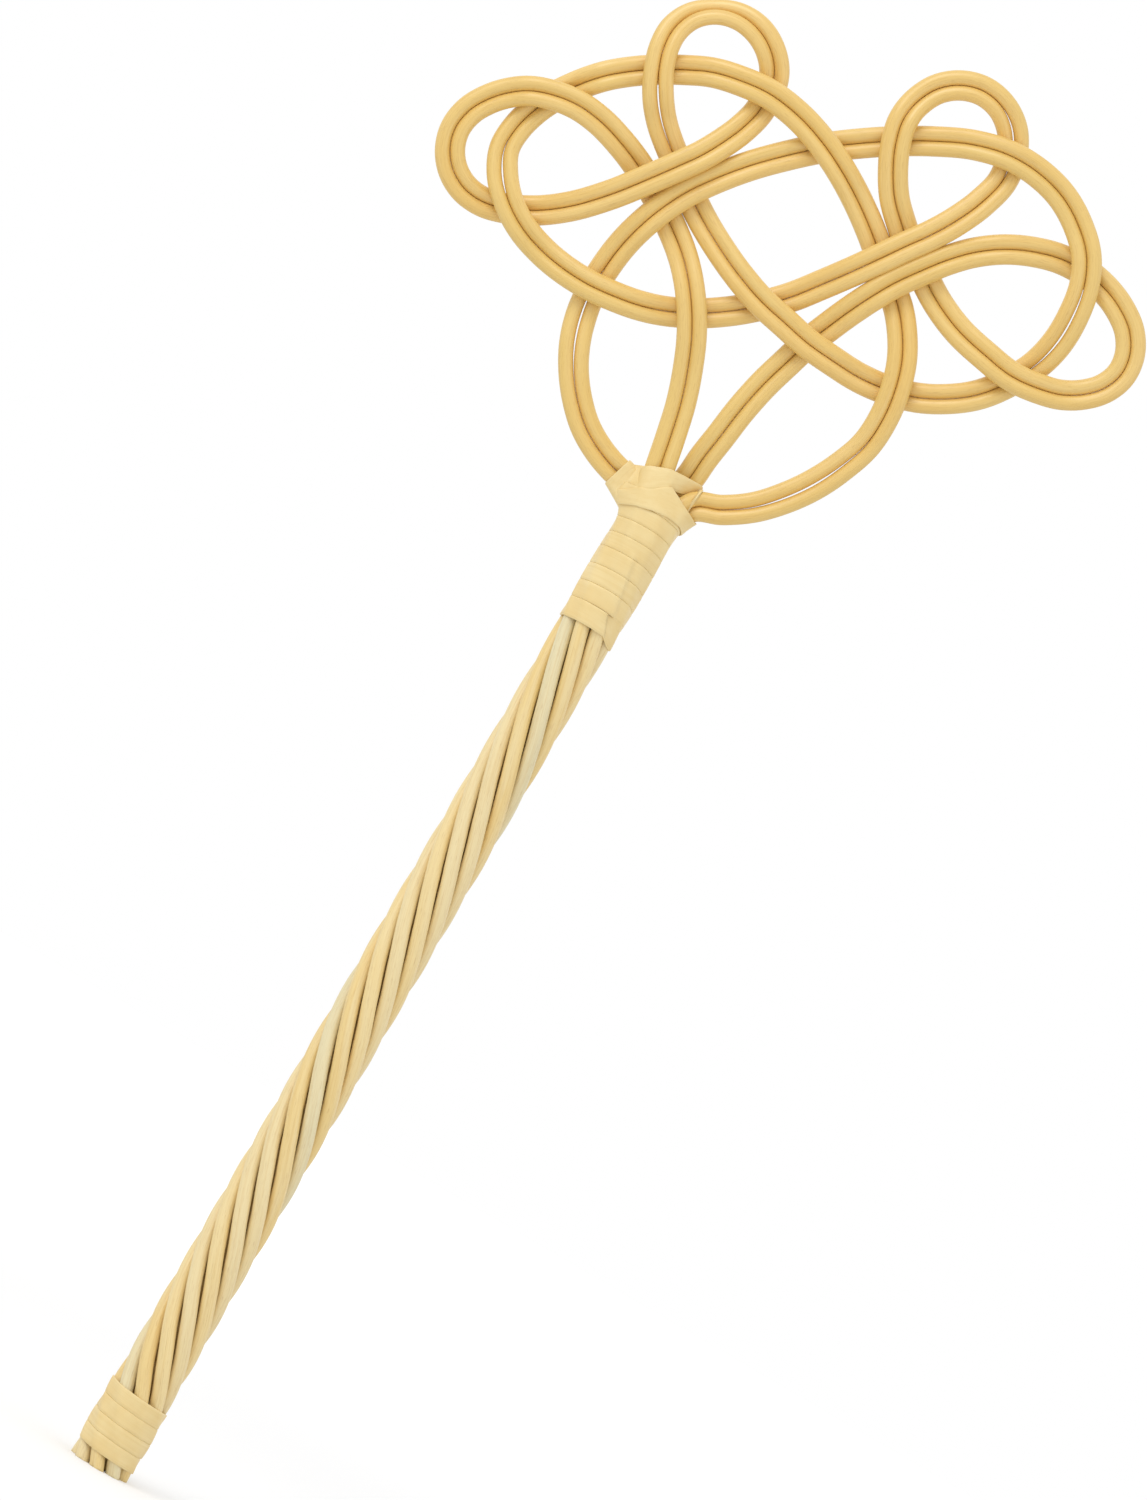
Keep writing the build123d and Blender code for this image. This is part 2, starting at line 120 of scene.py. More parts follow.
class Grain:
    """A socket of a material's node tree. Sums on it add Math nodes, and node() adds any other node. In
    node() a value's name is its socket's name, or _ and the socket's number."""

    def __init__(self, tree, socket=None):
        self.tree = tree
        self.socket = socket

    def node(self, kind, settings=None, output=0, **values):
        made = self.tree.nodes.new(kind)
        for name, setting in (settings or {}).items():
            setattr(made, name, setting)
        for name, value in values.items():
            socket = made.inputs[int(name[1:]) if name[0] == "_" else name.replace("_", " ")]
            if isinstance(value, Grain):
                self.tree.links.new(value.socket, socket)
            else:
                socket.default_value = value
        return Grain(self.tree, made.outputs[output])

    def math(self, operation, *values):
        return self.node(
            "ShaderNodeMath", {"operation": operation}, **{f"_{i}": v for i, v in enumerate(values)}
        )

    def __add__(self, other):
        return self.math("ADD", self, other)

    def __radd__(self, other):
        return self.math("ADD", other, self)

    def __sub__(self, other):
        return self.math("SUBTRACT", self, other)

    def __rsub__(self, other):
        return self.math("SUBTRACT", other, self)

    def __mul__(self, other):
        return self.math("MULTIPLY", self, other)

    def __rmul__(self, other):
        return self.math("MULTIPLY", other, self)

    def between(self, low, high):
        """0 below low and 1 above high, with a smooth change between them."""
        return self.node(
            "ShaderNodeMapRange",
            {"interpolation_type": "SMOOTHSTEP"},
            _0=self,
            _1=low,
            _2=high,
        )

    def mix(self, first, second):
        """A colour that goes from the first to the second as this value goes from 0 to 1."""
        return self.node(
            "ShaderNodeMix", {"data_type": "RGBA"}, output=2, _0=self, _6=first, _7=second
        )

    def stretched(self, across, along):
        """This vector with its first two parts made this many times larger, and its third."""
        return self.node(
            "ShaderNodeVectorMath",
            {"operation": "MULTIPLY"},
            _0=self,
            _1=(across, across, along),
        )

    def noise(self, detail=2.0):
        return self.node("ShaderNodeTexNoise", Vector=self, Scale=1.0, Detail=detail)

    def part(self, axis):
        return self.node("ShaderNodeSeparateXYZ", output="XYZ".index(axis), Vector=self)


def new_finish(name):
    """A material, its nodes as a Grain, and its surface shader, whose sockets are set by name."""
    material = bpy.data.materials.new(name)
    material.use_nodes = True
    nodes = material.node_tree.nodes
    return material, Grain(material.node_tree), nodes["Principled BSDF"]


def feed(grain, shader, **values):
    """Sets the shader's sockets: a value goes on the socket itself, and a Grain is linked to it."""
    for name, value in values.items():
        socket = shader.inputs[name.replace("_", " ")]
        if isinstance(value, Grain):
            grain.tree.links.new(value.socket, socket)
        else:
            socket.default_value = value


def raw_stick():
    material, grain, shader = new_finish("raw stick")
    place = grain.node("ShaderNodeTexCoord", output=3)
    rings = place.stretched(900.0, 6.0).noise(3.0)
    pores = place.stretched(5200.0, 5200.0).noise(1.0).between(0.56, 0.66)
    wood = rings.between(0.35, 0.7).mix(as_seen(186, 148, 82), as_seen(212, 176, 112))
    feed(
        grain,
        shader,
        Base_Color=(pores * 0.6).mix(wood, as_seen(92, 64, 34)),
        Roughness=0.75,
        Normal=grain.node("ShaderNodeBump", Strength=0.3, Distance=0.0001, Height=rings),
    )
    return material


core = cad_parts["handle_core"]
core.data.materials.clear()
core.data.materials.append(raw_stick())

# The four canes: peeled rattan, round and smooth, 5.8 mm thick. Two lie side by side in each band of the
# knot. Each is one unbroken rod, steamed and bent: from the butt up one strand of the handle, round the
# knot, and down another strand. The knot's canes are golden and the handle's are paler.
cane_diameter = 0.0058
cane_gap = 0.00015
cane_press = 0.00001  # how far each cane of a pair is pressed into the other
weave_clearance = 0.00035
pair_spacing = cane_diameter + cane_gap
cane_radius = pair_spacing / 2 + cane_press
weave_lift = (cane_diameter + weave_clearance) / 2
ring_radius_neck = 0.0087
ring_radius_butt = 0.0096
seat_height = neck_height - 0.009
collar_foot = neck_height - 0.054
# The height in which a strand makes a full turn: at its seat under the neck, below the collar, at the butt
twist_pitch_seat = 0.490
twist_pitch_collar = 0.200
twist_pitch_butt = 0.1412
strand_station_angle = 36.0
strand_swell = 1.085
strand_stretch = 1.06  # a strand's length for each length of handle, as it winds round
full_turn = 360.0
curve_resolution = 24
rod_ring_spacing = 0.0011
rod_sides = 24
tint_blend = 0.01  # half the length over which one tint changes into the next
pale_above_foot = 0.004  # the handle's pale tints reach this far up under the collar unchanged

# The middle of each band: column and row in the photograph, and the height in the weave, where -1 is
# over, towards the front. Band B leaves the neck at the left and band A at the right.
band_b_places = [
    (660, 468, -1.15), (670.8, 436.2, -0.45), (681, 403, -0.1), (688, 368, -0.3), (691.5, 338, -0.8),
    (691.7, 312, -1), (689.5, 288, -0.85), (683, 257, 0.2), (671.3, 226.4, 0.85), (662.5, 207.8, 1),
    (648.5, 181.8, 1), (637.5, 164.3, 0.85), (620, 142, 0.1), (600, 121.5, -0.5), (579, 106.5, -0.95),
    (552, 95.5, -1), (530, 91.5, -0.9), (509, 93, -0.3), (488, 99.5, 0), (469, 111, 0),
    (455, 129, 0), (450, 150, 0), (453.5, 171, 0.15), (464, 188, 0.45), (482, 201, 0.9),
    (510, 208.5, 1), (535, 210, 0.95), (570, 206.5, 0), (607.3, 196.4, -1.1), (648.4, 180.5, -2.1),
    (677.7, 167.8, -2.35), (700.2, 157.4, -2.15), (721.4, 144.4, -1.4), (742.5, 128.4, -0.2),
    (759, 111, 0.8), (768.5, 95, 1), (774.5, 73, 0.75), (770.9, 51.1, 0.2), (758.2, 29.8, 0),
    (739.5, 15.4, 0),
    (715, 9.5, 0), (692, 14.5, 0), (675, 28, -0.25), (664, 48, -0.85), (659, 70, -1),
    (658, 95, -0.7), (662, 122, 0.5), (670, 145.5, 0.95), (679.5, 167.2, 1), (688.5, 190.2, 1),
    (700.1, 214.8, 0.85), (720.5, 249.7, 0), (742, 280, -0.8), (762, 303, -1), (784, 323, -1),
    (807, 343.5, -1), (832, 361, -0.7), (862, 379, 0.6), (893, 391.5, 1), (918, 397.5, 0.8),
    (947, 399, 0.2), (977, 395, 0.5), (1009, 382, 1), (1034, 366.5, 0.95), (1056, 344.5, 0.1),
    (1073, 316, -0.75), (1084, 285, -1), (1086, 257, -0.95), (1078, 226, -0.45), (1062, 197, -0.45),
    (1040, 175, -0.75), (1011, 157, -1), (975, 145.5, -0.4), (935, 141, 0.75), (896, 140.7, 1),
    (860, 143, 0.95), (823, 147.5, 1), (787.3, 155.3, 0.6), (750.2, 165.9, -0.2), (712.3, 180.5, -0.75),
    (686.8, 192.7, -0.9), (664.8, 206.8, -0.95), (643.4, 223.9, -0.85), (620, 247.5, 0.2), (604, 269, 0.8),
    (592, 289, 1), (581, 316, 0.7), (575, 342, 0.15), (573.6, 370, 0), (577.4, 400, 0),
    (586, 428, 0), (598.7, 450, 0), (615.2, 469.6, 0),
]
band_a_places = [
    (691, 476, 1.15), (703, 458.5, 0.7), (720, 437, 0.35), (740, 411, 0.3), (765, 383, 0.7),
    (786, 363, 0.95), (807, 343.5, 1), (828, 327, 0.85), (855.5, 307.3, -0.3), (874.5, 295.1, -0.85),
    (892.3, 284.7, -0.85), (921.2, 271.2, -0.85), (947.7, 260.4, -0.7), (975, 252.5, 0), (1005, 249.5, 0),
    (1035, 252, 0.4), (1062, 259, 0.95), (1086, 272, 1), (1105, 288.5, 0.85), (1120, 309, 0.25),
    (1129.5, 332, 0), (1129.5, 356, 0), (1120, 376, 0), (1104, 388.5, 0), (1084, 394.5, 0),
    (1062, 395, -0.2), (1038, 389, -0.95), (1009, 375.5, -1), (986, 357, -0.85), (957.4, 329.5, 0.1),
    (937.5, 301.7, 0.8), (923, 273.8, 1), (909.2, 245.4, 1), (902, 224.5, 0.8), (894.5, 198, 0),
    (892.8, 172, -0.65), (895.5, 144, -1), (903, 120.5, -0.9), (918.5, 101.1, -0.15), (938, 89, 0),
    (961, 85.5, 0), (983, 91, 0), (1001, 105.5, 0.2), (1012.5, 129, 0.85), (1012, 157, 1),
    (1003, 180, 0.7), (983, 201.5, -0.1), (955.2, 222, -0.95), (925.4, 238.3, -1.3), (907.6, 246.2, -1.35),
    (882.8, 257.9, -1.3), (854.4, 270.9, -0.85), (822, 284.5, 0.3), (792, 296.5, 0.9), (762, 305, 1),
    (728, 311, 1), (692, 312.8, 1), (667, 311, 0.8), (637, 305, -0.5), (612, 296, -0.95),
    (592, 287, -1), (568, 272.5, -0.75), (543, 252, -0.3), (522, 228, -0.95), (509, 203, -1),
    (502.5, 174, -0.5), (505, 147, 0.2), (516.5, 127.9, 0.6), (533, 111, 0.95), (552, 97.5, 1),
    (574, 86.5, 0.95), (603, 76.5, 0.3), (633, 70.8, 0.9), (659, 69, 1), (685, 69.5, 0.85),
    (712, 72.5, -0.1), (742, 82, -0.8), (769, 94.5, -1), (795, 114, -0.95), (822.2, 143.6, -1),
    (841, 171.1, -0.85), (858.3, 201.9, 0.3), (872, 232.6, 0.9), (881.3, 258.2, 1), (890.3, 284.6, 1),
    (898, 306, 0.75), (902, 332, -0.1), (901.6, 361.1, -0.8), (894.5, 391.5, -1), (883.2, 418.6, -0.6),
    (866, 444.8, 0), (842, 466, 0), (815, 484, 0), (785, 498, 0), (753, 507.5, 0),
    (722, 510, 0),
]
# Where a pair stands a little open: column and row, and how far that reaches along the band
band_b_slits = [(659, 103, 22), (1064, 330, 36), (579, 325, 34)]
band_a_slits = [(1012, 141, 18), (503, 168, 16), (806, 489, 46)]
slit_width = 0.0006
# Where the outer cane of band B slips back behind the inner one at a tight bend: column, row and reach
band_b_slips = [(715, 10, 40)]
slip_angle = 42.0
slip_width = 0.0004

# Between the knot and the handle, as x, y and height shares of the strands' ring radius under the collar
left_inner_shares = [(-1.71, 0.06, 1.03), (-1.12, 0.3, 0.47), (-0.91, 0.4, -0.2)]
left_outer_shares = [(-1.96, -0.05, 0.37), (-1.38, -0.2, -0.08), (-1.03, -0.33, -0.62)]
front_left_shares = [(-0.94, -0.62, 0.9), (-0.64, -0.82, 0.0)]
front_right_shares = [(-0.2, -0.62, 0.9), (0.14, -0.82, 0.0)]
right_inner_shares = [(1.16, -0.06, 1.41), (0.88, -0.28, 0.96), (0.82, -0.44, 0.32), (0.9, -0.4, -0.36)]
right_outer_shares = [(1.48, 0.09, 0.8), (1.2, 0.24, 0.32), (0.99, 0.34, -0.32)]
back_right_shares = [(0.7, 0.62, 1.2), (0.5, 0.86, 0.2)]
back_left_shares = [(-0.03, 0.62, 1.2), (-0.26, 0.86, 0.2)]


def tangents_of(points):
    """Unit tangents at the points of a path: each leans towards its shorter neighbouring chord."""
    chords = [after - before for before, after in zip(points, points[1:])]
    inner = [
        (before.normalized() * after.length + after.normalized() * before.length).normalized()
        for before, after in zip(chords, chords[1:])
    ]
    first = (chords[0].normalized() * 2 - inner[0]).normalized()
    last = (chords[-1].normalized() * 2 - inner[-1]).normalized()
    return [first] + inner + [last]


def nearness(column, row, spots):
    """How near this column and row are to the spots: 1 on a spot, and falling to 0 past its reach."""
    return sum(exp(-((column - x) ** 2 + (row - y) ** 2) / reach**2) for x, y, reach in spots)


def cane_beside(places, slits, slips, side):
    """Points of one cane of a band: side is 1 for the cane to the left of the band's travel, and -1 for
    the other, which may slip behind it."""
    band = [from_picture(column, row, level * weave_lift) for column, row, level in places]
    directions = tangents_of([Vector((p.x, 0, p.z)) for p in band])
    points = []
    for (column, row, _), middle, way in zip(places, band, directions):
        spacing = pair_spacing + slit_width * nearness(column, row, slits)
        beside = Vector((-way.z, 0, way.x)) * spacing
        point = middle + beside / 2
        if side < 0:
            slipped = nearness(column, row, slips)
            slip = radians(slip_angle * slipped)
            back = (spacing + slip_width * slipped) * sin(slip)
            point += Vector((0, back, 0)) - beside * cos(slip)
        points.append(point)
    return points


def twist_between(upper, lower, pitch_upper, pitch_lower, height):
    """Degrees that a strand turns from the upper height down to the given one."""
    fallen = upper - height
    rate_upper = full_turn / pitch_upper
    rate_lower = full_turn / pitch_lower
    return rate_upper * fallen + (rate_lower - rate_upper) * fallen**2 / (2 * (upper - lower))


def strand_place(seat_angle, height):
    """Centre of a strand of the handle at this height, for the strand with this angle at its seat."""
    turned = twist_between(
        seat_height, collar_foot, twist_pitch_seat, twist_pitch_collar, max(height, collar_foot)
    )
    radius = ring_radius_neck
    if height < collar_foot:
        turned += twist_between(collar_foot, butt_height, twist_pitch_collar, twist_pitch_butt, height)
        fallen_share = (collar_foot - height) / (collar_foot - butt_height)
        radius += (ring_radius_butt - ring_radius_neck) * fallen_share
    angle = radians(seat_angle + turned)
    return Vector((radius * cos(angle), radius * sin(angle), height))


def strand_run(seat_angle):
    """A strand's path from its seat down past the butt, in near equal turns."""
    collar_turn = twist_between(
        seat_height, collar_foot, twist_pitch_seat, twist_pitch_collar, collar_foot
    )
    handle_turn = twist_between(
        collar_foot, butt_height, twist_pitch_collar, twist_pitch_butt, butt_height
    )
    collar_steps = ceil(collar_turn / strand_station_angle) + 1
    handle_steps = ceil(handle_turn / strand_station_angle)
    collar_run = (seat_height - collar_foot) / collar_steps
    handle_run = (collar_foot - butt_height) / handle_steps
    heights = [seat_height - collar_run * i for i in range(collar_steps)]
    heights += [collar_foot - handle_run * i for i in range(handle_steps + 1)]
    heights += [butt_height - cane_diameter]
    return [strand_place(seat_angle, h) for h in heights]


def neck_run(shares):
    """The points of a cane between the knot and its seat."""
    return [
        Vector((x * ring_radius_neck, y * ring_radius_neck, neck_height + z * ring_radius_neck))
        for x, y, z in shares
    ]


def cane_route(places, slits, slips, side, start_shares, start_seat, end_shares, end_seat):
    """One cane from the butt up its first strand, round the knot, and down its second strand."""
    up = strand_run(start_seat)[::-1] + neck_run(start_shares)[::-1]
    down = neck_run(end_shares) + strand_run(end_seat)
    return up + cane_beside(places, slits, slips, side) + down


def smooth_curve(name, points):
    """A curve object through the points, its handles a third of the way to each neighbour. The strands
    of the handle are pressed a little wider than the canes of the knot, so they close up."""
    data = bpy.data.curves.new(name, "CURVE")
    data.dimensions = "3D"
    data.resolution_u = curve_resolution
    spline = data.splines.new("BEZIER")
    spline.bezier_points.add(len(points) - 1)
    lengths = [(after - before).length for before, after in zip(points, points[1:])]
    for knot, place, tangent, before, after in zip(
        spline.bezier_points, points, tangents_of(points), lengths[:1] + lengths, lengths + lengths[-1:]
    ):
        knot.co = place
        knot.handle_left_type = "FREE"
        knot.handle_right_type = "FREE"
        knot.handle_left = place - tangent * before / 3
        knot.handle_right = place + tangent * after / 3
        knot.radius = strand_swell if place.z < seat_height else 1.0
    made = bpy.data.objects.new(name, data)
    bpy.context.collection.objects.link(made)
    return made


def link_chain(tree, geometry, *nodes):
    """Passes the geometry through the nodes one after another."""
    for node in nodes:
        tree.links.new(geometry, node.inputs[0])
        geometry = node.outputs[0]
    return geometry


def rod_tree():
    """Geometry nodes that make a round rod along a curve and note where on the rod each point is."""
    tree = bpy.data.node_groups.new("bent rod", "GeometryNodeTree")
    panel = tree.interface
    panel.new_socket("Geometry", in_out="INPUT", socket_type="NodeSocketGeometry")
    panel.new_socket("Rod radius", in_out="INPUT", socket_type="NodeSocketFloat")
    panel.new_socket("Ring spacing", in_out="INPUT", socket_type="NodeSocketFloat")
    panel.new_socket("Sides", in_out="INPUT", socket_type="NodeSocketInt")
    panel.new_socket("Finish", in_out="INPUT", socket_type="NodeSocketMaterial")
    panel.new_socket("Geometry", in_out="OUTPUT", socket_type="NodeSocketGeometry")
    add = tree.nodes.new
    link = tree.links.new
    given = add("NodeGroupInput").outputs
    rings = add("GeometryNodeResampleCurve")
    rings.mode = "LENGTH"
    link(given["Ring spacing"], rings.inputs["Length"])
    along = add("GeometryNodeCaptureAttribute")
    along.capture_items.new("FLOAT", "along")
    link(add("GeometryNodeSplineParameter").outputs["Length"], along.inputs["along"])
    section = add("GeometryNodeCurvePrimitiveCircle")
    link(given["Sides"], section.inputs["Resolution"])
    link(given["Rod radius"], section.inputs["Radius"])
    across = add("GeometryNodeCaptureAttribute")
    across.capture_items.new("VECTOR", "across")
    link(section.outputs["Curve"], across.inputs[0])
    link(add("GeometryNodeInputPosition").outputs[0], across.inputs["across"])
    rod = add("GeometryNodeCurveToMesh")
    rod.inputs["Fill Caps"].default_value = True
    link(across.outputs[0], rod.inputs["Profile Curve"])
    split = add("ShaderNodeSeparateXYZ")
    link(across.outputs["across"], split.inputs[0])
    place = add("ShaderNodeCombineXYZ")
    link(split.outputs[0], place.inputs[0])
    link(split.outputs[1], place.inputs[1])
    link(along.outputs["along"], place.inputs[2])
    note = add("GeometryNodeStoreNamedAttribute")
    note.data_type = "FLOAT_VECTOR"
    note.inputs["Name"].default_value = "fibre"
    link(place.outputs[0], note.inputs["Value"])
    smooth = add("GeometryNodeSetShadeSmooth")
    real = add("GeometryNodeRealizeInstances")
    finish = add("GeometryNodeSetMaterial")
    link(given["Finish"], finish.inputs["Material"])
    made = link_chain(tree, given["Geometry"], rings, along, rod, note, smooth, real, finish)
    link(made, add("NodeGroupOutput").inputs[0])
    return tree


def as_plain_mesh(guide, tree, **sizes):
    """The mesh that the tree makes of the guide curve, as an object of its own. The guide is removed."""
    modifier = guide.modifiers.new("form", "NODES")
    modifier.node_group = tree
    for item in tree.interface.items_tree:
        if item.in_out == "INPUT" and item.name.replace(" ", "_") in sizes:
            modifier[item.identifier] = sizes[item.name.replace(" ", "_")]
    bpy.context.view_layer.update()
    shown = bpy.context.evaluated_depsgraph_get()
    mesh = bpy.data.meshes.new_from_object(guide.evaluated_get(shown), depsgraph=shown)
    name = guide.name
    guide_data = guide.data
    bpy.data.objects.remove(guide)
    bpy.data.curves.remove(guide_data)
    mesh.name = name
    made = bpy.data.objects.new(name, mesh)
    bpy.context.collection.objects.link(made)
    return made


def saw_off_below(piece, height):
    """Cuts the piece flat at this height, takes away what is below, and closes the cuts."""
    bm = bmesh.new()
    bm.from_mesh(piece.data)
    cut = bmesh.ops.bisect_plane(
        bm,
        geom=bm.verts[:] + bm.edges[:] + bm.faces[:],
        plane_co=(0, 0, height),
        plane_no=(0, 0, -1),
        clear_outer=True,
    )
    rims = [e for e in cut["geom_cut"] if isinstance(e, bmesh.types.BMEdge)]
    ends = bmesh.ops.edgeloop_fill(bm, edges=rims)["faces"]
    for end in ends:
        end.smooth = False
        end.material_index = 1
        if end.normal.z > 0:
            end.normal_flip()
    bm.to_mesh(piece.data)
    bm.free()


def peeled_cane(name, first_tint, last_tint, first_length, last_start):
    """Satin peeled rattan: fine fibres along the rod, golden in the knot and paler in the handle. The
    first tint is that of the first strand, up to this length, and the last tint starts at last_start."""
    material, grain, shader = new_finish(name)
    fibre = grain.node("ShaderNodeAttribute", {"attribute_name": "fibre"}, output=1)
    along = fibre.part("Z")
    height = grain.node("ShaderNodeTexCoord", output=3).part("Z")
    streaks = fibre.stretched(1900.0, 28.0).noise(3.0)
    patches = fibre.stretched(260.0, 22.0).noise(2.0)
    slow = fibre.stretched(40.0, 7.0).noise(1.0)
    dashes = fibre.stretched(4200.0, 260.0).noise(0.0).between(0.66, 0.74)
    gold = patches.between(0.3, 0.7).mix(as_seen(234, 194, 108), as_seen(240, 204, 126))
    gold = (slow.between(0.35, 0.65) * 0.6).mix(gold, as_seen(230, 197, 114))
    is_first = 1 - along.between(first_length - tint_blend, first_length + tint_blend)
    is_last = along.between(last_start - tint_blend, last_start + tint_blend)
    pale = is_first.mix(is_last.mix(gold, last_tint), first_tint)
    pale = (patches.between(0.35, 0.7) * 0.5).mix(pale, as_seen(242, 224, 174))
    in_handle = 1 - height.between(collar_foot + pale_above_foot, neck_height)
    skin = in_handle.mix(gold, pale)
    skin = (streaks.between(0.42, 0.68) * 0.22).mix(skin, as_seen(208, 164, 86))
    feed(
        grain,
        shader,
        Base_Color=(dashes * 0.2).mix(skin, as_seen(170, 124, 54)),
        Roughness=streaks * 0.16 + 0.32,
        Specular_IOR_Level=0.75,
        Normal=grain.node("ShaderNodeBump", Strength=0.12, Distance=0.00008, Height=streaks),
    )
    return material


def sawn_end():
    """The sawn end of a cane: darker, with open pores."""
    material, grain, shader = new_finish("sawn cane end")
    place = grain.node("ShaderNodeTexCoord", output=3)
    pores = place.stretched(3600.0, 3600.0).noise(1.0).between(0.52, 0.62)
    feed(
        grain,
        shader,
        Base_Color=pores.mix(as_seen(206, 176, 118), as_seen(120, 86, 44)),
        Roughness=0.8,
        Normal=grain.node("ShaderNodeBump", Strength=0.4, Distance=0.0001, Height=1 - pores),
    )
    return material


pale_gold = as_seen(243, 218, 156)
pale_straw = as_seen(241, 220, 166)
pale_green = as_seen(231, 219, 176)
warm_straw = as_seen(240, 211, 142)
# Each cane's route: its band, its side of it, and twice its way into the neck and the angle of its seat
# round the handle. Then the tints of its first and last strand in the handle.
canes = {
    "left_band_inner_cane": (
        band_b_places, band_b_slits, band_b_slips, 1,
        front_left_shares, 247.5, left_inner_shares, 157.5, pale_gold, pale_green,
    ),
    "left_band_outer_cane": (
        band_b_places, band_b_slits, band_b_slips, -1,
        front_right_shares, 292.5, left_outer_shares, 202.5, pale_straw, warm_straw,
    ),
    "right_band_outer_cane": (
        band_a_places, band_a_slits, [], 1,
        back_left_shares, 472.5, right_outer_shares, 382.5, warm_straw, pale_straw,
    ),
    "right_band_inner_cane": (
        band_a_places, band_a_slits, [], -1,
        back_right_shares, 427.5, right_inner_shares, 337.5, pale_straw, pale_gold,
    ),
}
bent_rod = rod_tree()
end_wood = sawn_end()
cane_routes = {}
for node, (*way, first_tint, last_tint) in canes.items():
    route = cane_route(*way)
    cane_routes[node] = route
    whole_length = sum((after - before).length for before, after in zip(route, route[1:]))
    strand_length = handle_length * strand_stretch
    finish = peeled_cane(
        node.replace("_", " ") + " skin",
        first_tint,
        last_tint,
        strand_length,
        whole_length - strand_length,
    )
    cane = as_plain_mesh(
        smooth_curve(node.replace("_cane", "_rod"), route),
        bent_rod,
        Rod_radius=cane_radius,
        Ring_spacing=rod_ring_spacing,
        Sides=rod_sides,
        Finish=finish,
    )
    cane.data.materials.append(end_wood)
    saw_off_below(cane, butt_height)
    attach(cane, "root")
    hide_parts(node)

# The collar: flat peeled strip, 7 mm wide, wound tight in about seven turns over the eight strands while
# it is damp, so it follows them. Its lower end is folded down over the last turn and tucked under it.
strip_thickness = 0.00045
layer_under = 0.00035
strip_rim = 0.0003
widest_rim = 0.3  # share of the strip's width
rim_thickness = 0.45  # share of the strip's thickness, at the very rim and where the easing starts
shoulder_thickness = 0.95
strip_give = 0.00008
strip_cells = 6  # across the strip
ring_steps = 120
ring_spacing = 0.001
path_step = 0.0005
followed_above_neck = 0.045
# In a ring round the strands a cane that leaves the neck counts as no further out than this, and its
# slanting section as no longer than this many times its width
leaving_reach = 0.0145
longest_slant = 1.3
# Each turn's edge at the left side, up from the collar's foot
turn_edges = [
    (-1, -0.0062), (0, 0.0018), (1, 0.0104), (2, 0.0178), (3, 0.0254), (4, 0.0332), (5, 0.0397),
    (6, 0.0461), (7, 0.0530), (8, 0.0590),
]
# In turns: where the strip starts with a slanting fold, how long the fold is, and where it has faded
first_fold = -0.37
fold_slant = 0.07
fold_fades = -0.12
last_turn = 6.9
turn_gap = 0.00005
turn_steps = 90
# How far a seam dips behind and rises to the right
turn_dip = 0.0020
turn_rise = 0.0011
# The covered strip end: from where to where it runs, how it drifts to the right as it comes down, and how
# fast it rises and falls at its ends
ridge_top = -0.016
ridge_foot = -0.046
ridge_start = 0.0012
ridge_drift = 0.0045
ridge_height = 0.0014
ridge_rise = 6.0
ridge_fall = 8.0
ridge_half_width = 0.0026
ridge_steepness = 3.0


def path_through(points):
    """Places at even small steps along the smooth curve through the points."""
    ways = tangents_of(points)
    path = []
    for start, end, way_out, way_in in zip(points, points[1:], ways, ways[1:]):
        third = (end - start).length / 3
        count = max(3, round(third * 3 / path_step))
        path += interpolate_bezier(
            start, start + way_out * third, end - way_in * third, end, count
        )[:-1]
    return path


def strand_of(path):
    """The part of a cane's path from the butt up to where it has left the neck."""
    return list(takewhile(lambda place: place.z < neck_height + followed_above_neck, path))


strands = {}
for node, route in cane_routes.items():
    path = path_through(route)
    strands[node + "_first"] = strand_of(path)
    strands[node + "_last"] = strand_of(path[::-1])


def crossing(path, centre, normal):
    """Where a path crosses a plane nearest to the centre, and its direction there."""
    heights = [(place - centre).dot(normal) for place in path]
    found = []
    for start, end, below, above in zip(path, path[1:], heights, heights[1:]):
        if below * above <= 0 and below != above:
            place = start + (end - start) * (below / (below - above))
            found.append(((place - centre).length, place, (end - start).normalized()))
    return min(found, key=lambda each: each[0])[1:]


def taut_ring(paths, centre, normal, first):
    """A strip drawn tight round rods in a plane: its distance from the centre and its outward
    direction at even steps, where it lies on the rods or stretches straight between two of them."""
    second = normal.cross(first)
    sections = []
    for path in paths:
        place, way = crossing(path, centre, normal)
        off = place - centre
        if off.length > leaving_reach:
            off *= leaving_reach / off.length
        lean = Vector((way.dot(first), way.dot(second)))
        slant = min(longest_slant, 1 / abs(way.dot(normal)))
        if lean.length > 0:
            lean.normalize()
        sections.append((off.dot(first), off.dot(second), lean.x, lean.y, slant**2 - 1))
    turns = [(cos(2 * pi * k / ring_steps), sin(2 * pi * k / ring_steps)) for k in range(ring_steps)]
    reaches = [
        max(
            x * c + y * s + cane_radius * sqrt(1 + longer * (c * lean_x + s * lean_y) ** 2)
            for x, y, lean_x, lean_y, longer in sections
        )
        for c, s in turns
    ]
    side = ring_steps // 4 - 1
    ring = []
    for k in range(ring_steps):
        distance, facing = min(
            (reaches[(k + off) % ring_steps] / cos(2 * pi * off / ring_steps), (k + off) % ring_steps)
            for off in range(-side, side + 1)
        )
        c, s = turns[facing]
        ring.append((distance, first * c + second * s))
    return ring


level_rings = {}


